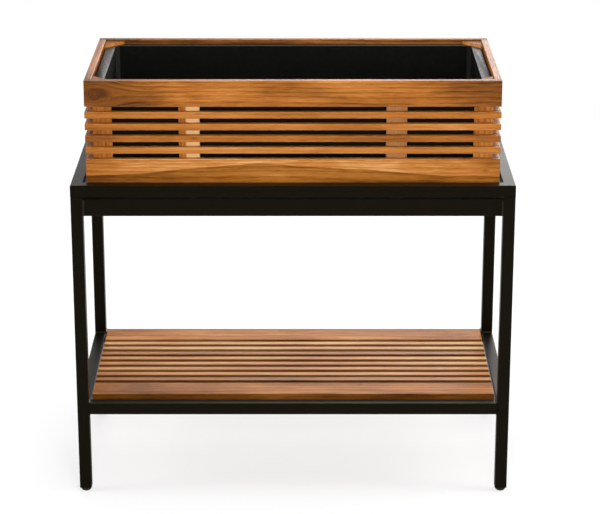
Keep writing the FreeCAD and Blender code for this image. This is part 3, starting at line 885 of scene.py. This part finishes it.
if floorFace.normal.z < 0:               # the skin is the inside of the tub, so its floor looks up
    tub.data.flip_normals()
applyModifier(tub, "SOLIDIFY", thickness=wall, offset=-1.0, use_even_offset=True)
applyModifier(tub, "BEVEL", width=linerSize["edge"], segments=linerSize["edgeSteps"],
              limit_method="ANGLE", angle_limit=linerSize["edgeAngle"])
barsLow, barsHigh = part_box("bed_bars")
barSide = barsHigh.z - barsLow.z
bay = (barsHigh.x - barsLow.x - barSide) / (linerSize["bars"] - 1)
drills = []
for index in range(linerSize["bars"] - 1):       # two drains in the middle of every bay between the bars
    drillX = barsLow.x + barSide / 2 + (index + 0.5) * bay
    for drillY in (-linerSize["drainsAcross"], linerSize["drainsAcross"]):
        deselect()
        bpy.ops.mesh.primitive_cylinder_add(
            vertices=linerSize["drainSides"], radius=linerSize["drainRadius"],
            depth=linerSize["drillLength"], location=(drillX, drillY, floorTop))
        drills.append(bpy.context.object)
joinPieces(drills[0], drills)
applyModifier(tub, "BOOLEAN", object=drills[0], operation="DIFFERENCE", solver="EXACT")
bpy.data.objects.remove(drills[0])
pickOnly(tub)
bpy.ops.object.shade_smooth_by_angle(angle=linerSize["smoothAngle"])
print("liner shaped:", len(tub.data.polygons), "faces")
finishPiece(tub, "liner", "liner_plastic", linerPlastic, "liner")

# levelling feet: a domed glide moulded on a threaded stud
footSet = {
    "sides": 48,
    "dome": 0.006,
    "domeSteps": 8,
    "topRound": 0.0008,
    "topSteps": 3,
    "recess": 0.0016,
    "recessDepth": 0.0005,
    "studRadius": 0.004,
    "pitch": 0.00125,
    "threadDepth": 0.0007,
    "crest": (0.45, 0.55),   # share of the pitch over which the thread is at its full height
    "threadSides": 28,
    "smoothAngle": math.radians(35),
}
low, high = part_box(f"foot_{corners[0]}")
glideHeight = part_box(f"leg_{corners[0]}")[0].z - low.z
glideRadius = (high.x - low.x) / 2
deselect()
bpy.ops.mesh.primitive_cylinder_add(vertices=footSet["sides"], radius=glideRadius, depth=glideHeight,
                                    location=(0.0, 0.0, glideHeight / 2))
glide = bpy.context.object
bpy.ops.object.transform_apply(location=True)
editMode()
pickEdges(glide, lambda edge: all(v.co.z < glideHeight / 4 for v in edge.verts))
roundEdges(footSet["dome"], footSet["domeSteps"])
pickEdges(glide, lambda edge: all(v.co.z > glideHeight - footSet["topRound"] / 4 for v in edge.verts))
roundEdges(footSet["topRound"], footSet["topSteps"])
pickFaces(glide, lambda face: face.normal.z < 0 and len(face.verts) == footSet["sides"])     # underside
bpy.ops.mesh.inset(thickness=footSet["recess"])
bpy.ops.transform.translate(value=(0.0, 0.0, footSet["recessDepth"]))
objectMode()

threadMesh = bpy.data.meshes.new("stud")         # one pitch, wound round by the screw modifier
crest = footSet["studRadius"]
root = crest - footSet["threadDepth"]
pitch = footSet["pitch"]
crestFrom, crestTo = (pitch * share for share in footSet["crest"])
profile = [(root, 0.0, 0.0), (crest, 0.0, crestFrom), (crest, 0.0, crestTo), (root, 0.0, pitch)]
threadMesh.from_pydata(profile, [(0, 1), (1, 2), (2, 3)], [])
stud = bpy.data.objects.new("stud", threadMesh)
bpy.context.collection.objects.link(stud)
studEnds = (glideHeight - 2 * pitch, high.z - low.z)
stud.location.z = studEnds[0] - pitch
pickOnly(stud)
bpy.ops.object.transform_apply(location=True)
turns = math.ceil((studEnds[1] - studEnds[0]) / pitch) + 2       # two to spare, cut off below
applyModifier(stud, "SCREW", axis="Z", angle=2 * math.pi, screw_offset=pitch, iterations=turns,
              steps=footSet["threadSides"], render_steps=footSet["threadSides"])
editMode()
for height, way in zip(studEnds, (-1.0, 1.0)):
    cutAway((0.0, 0.0, height), (0.0, 0.0, way), fill=True)
pickAll()
bpy.ops.mesh.normals_make_consistent(inside=False)
objectMode()
joinPieces(glide, [stud])
bpy.ops.object.shade_smooth_by_angle(angle=footSet["smoothAngle"])
footMesh = takeMesh(glide)
for corner in corners:
    low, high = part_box(f"foot_{corner}")
    foot = placeCopy(camel("foot", corner), footMesh, ((low.x + high.x) / 2, (low.y + high.y) / 2, low.z))
    finishPiece(foot, f"foot_{corner}", "foot_plastic", footPlastic, f"foot_{corner}")
print("feet turned:", len(footMesh.polygons), "faces each")

# weld beads in the corners where the rails and aprons meet the legs
weldSet = {"radius": 0.003, "ripples": 8, "pinch": 0.80, "sides": 10, "endGap": 0.002}


def rollBead(length):                    # one rippled bead along X, about the origin
    deselect()
    bpy.ops.mesh.primitive_cylinder_add(vertices=weldSet["sides"], radius=weldSet["radius"], depth=length)
    bead = bpy.context.object
    bead.rotation_euler.y = math.pi / 2
    bpy.ops.object.transform_apply(rotation=True)
    editMode()
    cuts = 2 * weldSet["ripples"] - 1
    pickEdges(bead, lambda edge: abs(edge.verts[0].co.x - edge.verts[1].co.x) > length / 2)
    bpy.ops.mesh.subdivide(number_cuts=cuts)
    step = length / (cuts + 1)
    pickEdges(bead, lambda edge: all(round((v.co.x + length / 2) / step) % 2 == 0 for v in edge.verts))
    bpy.ops.transform.resize(value=(1.0, weldSet["pinch"], weldSet["pinch"]),
                             center_override=(0.0, 0.0, 0.0))
    objectMode()
    applyModifier(bead, "SUBSURF", levels=1, render_levels=1)
    bpy.ops.object.shade_smooth()
    return takeMesh(bead)


railLow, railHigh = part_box("shelf_rail_front")
apronLow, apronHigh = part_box("apron_front")
apronMiddle = (apronLow.z + apronHigh.z) / 2
shortBead = rollBead(railHigh.z - railLow.z - 2 * weldSet["endGap"])
tallBead = rollBead(apronHigh.z - apronLow.z - 2 * weldSet["endGap"])
tallBead.transform(Matrix.Rotation(math.pi / 2, 4, "Y"))
beads = []
for corner in corners:
    low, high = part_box(f"leg_{corner}")
    middle = (low + high) / 2
    innerX = min(low.x, high.x, key=abs)
    innerY = min(low.y, high.y, key=abs)
    for height in (railLow.z, railHigh.z):
        beads.append(placeCopy("bead", shortBead, (innerX, middle.y, height), math.pi / 2))
        beads.append(placeCopy("bead", shortBead, (middle.x, innerY, height)))
    apronX = math.copysign(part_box("apron_left")[0].x, middle.x)
    apronY = math.copysign(apronLow.y, middle.y)
    beads.append(placeCopy("bead", tallBead, (innerX, apronY, apronMiddle)))
    beads.append(placeCopy("bead", tallBead, (apronX, innerY, apronMiddle)))
welds = beads[0]
joinPieces(welds, beads)
welds.name = "frameWelds"
finishPiece(welds, "stand", "stand_steel", weldSteel)
print("welds laid:", len(beads), "beads")

# camera: the photograph's view, square to the front and from a little above
viewSet = {
    "frameWidth": 600,
    "focalPixels": 2204.0,
    "sensorWidth": 36.0,
    "distance": 4.8,
    "elevation": math.radians(18.4),
    "aim": (0.0145, 0.0, 0.4544),
    "clipEnd": 200.0,
}
rise = viewSet["elevation"]
eye = Vector(viewSet["aim"]) + viewSet["distance"] * Vector((0.0, -math.cos(rise), math.sin(rise)))
bpy.ops.object.camera_add(location=eye, rotation=(math.pi / 2 - rise, 0.0, 0.0))
camera = bpy.context.object
camera.data.sensor_width = viewSet["sensorWidth"]
camera.data.lens = viewSet["focalPixels"] / viewSet["frameWidth"] * viewSet["sensorWidth"]
camera.data.clip_end = viewSet["clipEnd"]
bpy.context.scene.camera = camera

# lamps: a main light in front and one behind, both without glints, and soft boxes all round and above
lampSet = {
    "key": {"place": (0.2, -1.9, 2.5), "aim": (0.0, -0.1, 0.6), "size": (1.6, 1.2), "power": 8.0},
    "front": {"place": (0.2, -3.2, 1.45), "aim": (0.0, 0.0, 0.6), "size": (1.4, 0.8), "power": 64.0},
    "overhead": {"place": (0.1, 0.1, 2.9), "aim": (0.0, 0.0, 0.8), "size": (2.2, 1.6), "power": 18.0},
    "left": {"place": (-3.0, -0.4, 1.8), "aim": (0.0, 0.0, 0.5), "size": (1.2, 1.8), "power": 32.0},
    "right": {"place": (3.0, -0.4, 1.8), "aim": (0.0, 0.0, 0.5), "size": (1.2, 1.8), "power": 38.0},
    "behind": {"place": (1.4, 2.6, 2.2), "aim": (0.0, 0.0, 0.5), "size": (4.2, 1.6), "power": 36.0},
    "rear": {"place": (-0.2, 3.2, 1.45), "aim": (0.0, 0.0, 0.6), "size": (1.4, 0.8), "power": 32.0},
}
noGlint = ("front", "rear")
for name, lamp in lampSet.items():
    place = Vector(lamp["place"])
    turn = (Vector(lamp["aim"]) - place).to_track_quat("-Z", "Y").to_euler()
    bpy.ops.object.light_add(type="AREA", location=place, rotation=turn)
    light = bpy.context.object
    light.name = name
    light.data.shape = "RECTANGLE"
    light.data.size, light.data.size_y = lamp["size"]
    light.data.energy = lamp["power"]
    light.visible_camera = False
    light.visible_glossy = name not in noGlint

# world: camera, glossy and transmission rays see the white studio
worldSet = {
    "light": 0.27,
    "frontGloss": 0.15,
    "backGloss": 0.9,
    "lowGloss": 4.6,         # a bright strip low behind the object
    "lowBand": (0.33, 0.24),
    "leftShare": 0.22,
    "leftBand": (-0.2, 0.2),
    "frontBand": (-0.75, 0.1),
}
world = bpy.data.worlds.new("studio")
bpy.context.scene.world = world
world.use_nodes = True
tree = world.node_tree
path = tree.nodes.new("ShaderNodeLightPath").outputs
heading = splitNode(tree, tree.nodes.new("ShaderNodeTexCoord").outputs["Generated"])
back = rampNode(tree, heading[2], *worldSet["lowBand"], worldSet["backGloss"], worldSet["lowGloss"])
fromLeft = rampNode(tree, heading[0], *worldSet["leftBand"], worldSet["leftShare"], 1.0)
back = mathNode(tree, "MULTIPLY", back, fromLeft)
gloss = rampNode(tree, heading[1], *worldSet["frontBand"], worldSet["frontGloss"], back)
direct = path["Is Camera Ray"]
gloss = addShare(tree, direct, gloss, mathNode(tree, "SUBTRACT", 1.0, direct))
seen = mathNode(tree, "MAXIMUM", direct, path["Is Glossy Ray"])
seen = mathNode(tree, "MAXIMUM", seen, path["Is Transmission Ray"])
unseen = mathNode(tree, "SUBTRACT", 1.0, seen)
level = addShare(tree, mathNode(tree, "MULTIPLY", seen, gloss), unseen, worldSet["light"])
backdrop = tree.nodes["Background"]
backdrop.inputs["Color"].default_value = (1.0, 1.0, 1.0, 1.0)
plug(tree, level, backdrop.inputs["Strength"])

# floor: pale, keeps the shadow near the object and fades to the white of the studio
floorSet = {
    "size": 90.0,
    "colour": (0.45, 0.45, 0.45, 1.0),
    "rough": 0.9,
    "lift": 0.6,
    "near": 1.4,
    "far": 3.2,
    "mirrorBand": (0.0, 1.0),        # only the floor behind the object shows white in its gloss
}
bpy.ops.mesh.primitive_plane_add(size=floorSet["size"])
floor = bpy.context.object
floor.name = "floor"
material, tree, skin, coordinate = startMaterial("paleFloor")
floor.data.materials.append(material)
skin["Base Color"].default_value = floorSet["colour"]
skin["Roughness"].default_value = floorSet["rough"]
skin["Specular IOR Level"].default_value = 0.0
path = tree.nodes.new("ShaderNodeLightPath").outputs
behind = rampNode(tree, splitNode(tree, coordinate["Object"])[1], *floorSet["mirrorBand"])
seen = mathNode(tree, "MAXIMUM", path["Is Camera Ray"], path["Is Transmission Ray"])
seen = mathNode(tree, "MAXIMUM", seen, mathNode(tree, "MULTIPLY", path["Is Glossy Ray"], behind))
away = rampNode(tree, vectorNode(tree, "LENGTH", coordinate["Object"]), floorSet["near"], floorSet["far"])
glow = tree.nodes.new("ShaderNodeEmission")
strength = rampNode(tree, away, 0.0, 1.0, floorSet["lift"], 1.0)
plug(tree, mathNode(tree, "MULTIPLY", seen, strength), glow.inputs["Strength"])
lit = tree.nodes.new("ShaderNodeAddShader")
plug(tree, tree.nodes["Principled BSDF"].outputs[0], lit.inputs[0])
plug(tree, glow.outputs[0], lit.inputs[1])
fade = tree.nodes.new("ShaderNodeMixShader")
plug(tree, mathNode(tree, "MULTIPLY", away, seen), fade.inputs[0])
plug(tree, lit.outputs[0], fade.inputs[1])
plug(tree, glow.outputs[0], fade.inputs[2])
plug(tree, fade.outputs[0], tree.nodes["Material Output"].inputs["Surface"])
bpy.context.scene.view_settings.view_transform = "Standard"
print("camera, lamps and floor set")
